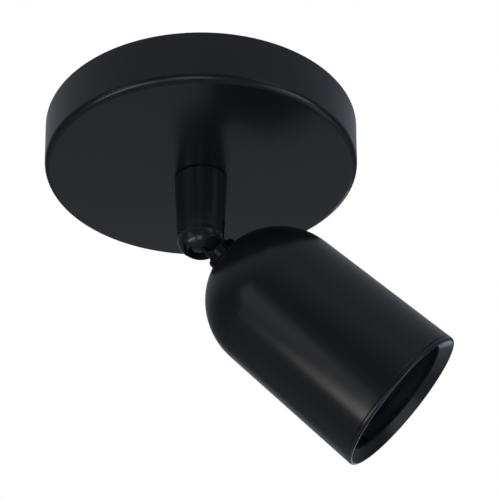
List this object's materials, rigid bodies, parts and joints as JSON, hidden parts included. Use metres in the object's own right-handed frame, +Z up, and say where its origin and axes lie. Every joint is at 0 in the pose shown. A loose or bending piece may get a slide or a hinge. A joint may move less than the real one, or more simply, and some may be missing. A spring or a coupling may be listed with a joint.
{
  "type": "ceiling spotlight",
  "caption": "Ceiling spotlight: round canopy, short tapered stem with a slotted ball joint, bullet-shaped head with a pull-off front ring.",
  "frame": {"origin": "centre of the canopy's rim, in the plane of the ceiling", "axes": "+Z up into the ceiling, along the stem; +X the way the head leans; the strap's slotted holes lie along X"},
  "size_m": [0.1523, 0.1274, 0.1361],
  "materials": {
    "powder_coat": "satin",
    "black_steel": "satin",
    "zinc_steel": "satin",
    "spring_steel": "satin",
    "turned_steel": "satin",
    "brass": "satin",
    "nylon": "matte",
    "steatite": "matte",
    "mica_board": "matte",
    "silicone": "satin"
  },
  "bodies": {
    "base": {"canopy": "powder_coat", "mounting_bracket": "zinc_steel", "nipple": "brass", "nipple_nuts": "zinc_steel", "lock_washer": "spring_steel", "swivel_hub": "turned_steel", "stop_pin": "spring_steel", "swivel_spring": "spring_steel", "circlip": "spring_steel", "terminal_block": "nylon", "terminal_tubes": "brass", "terminal_screws": "zinc_steel", "terminal_fixing": "zinc_steel", "fixing_nut": "zinc_steel", "earth_tag": "brass", "earth_screw": "zinc_steel", "base_leads": "silicone"},
    "swivel": {"stem": "powder_coat", "slide_washer": "nylon", "pressure_cup": "brass", "disc_springs": "spring_steel", "adjusting_ring": "turned_steel"},
    "head": {"ball_neck": "black_steel", "ring_nut": "black_steel", "head_shell": "powder_coat", "inner_washer": "spring_steel", "holder_bracket": "zinc_steel", "head_earth_tag": "brass", "neck_nut": "zinc_steel", "holder_cover": "mica_board", "lampholder": "steatite", "holder_contacts": "brass", "holder_screws": "zinc_steel", "holder_nuts": "zinc_steel", "head_leads": "silicone"},
    "ring": {"front_ring": "powder_coat"}
  },
  "joints": [
    {"name": "stem_swivel", "type": "hinge", "parent": "base", "child": "swivel", "pos_m": [0, 0, -0.0205], "axis": [0, 0, 1], "range_deg": [-165, 165]},
    {"name": "head_tilt", "type": "hinge", "parent": "swivel", "child": "head", "pos_m": [0, 0, -0.0465], "axis": [0, -1, 0], "range_deg": [-44.4, 40.6]},
    {"name": "ring_pull", "type": "slide", "parent": "head", "child": "ring", "axis": [0.6997, 0, -0.7145], "range_m": [0, 0.012]}
  ]
}
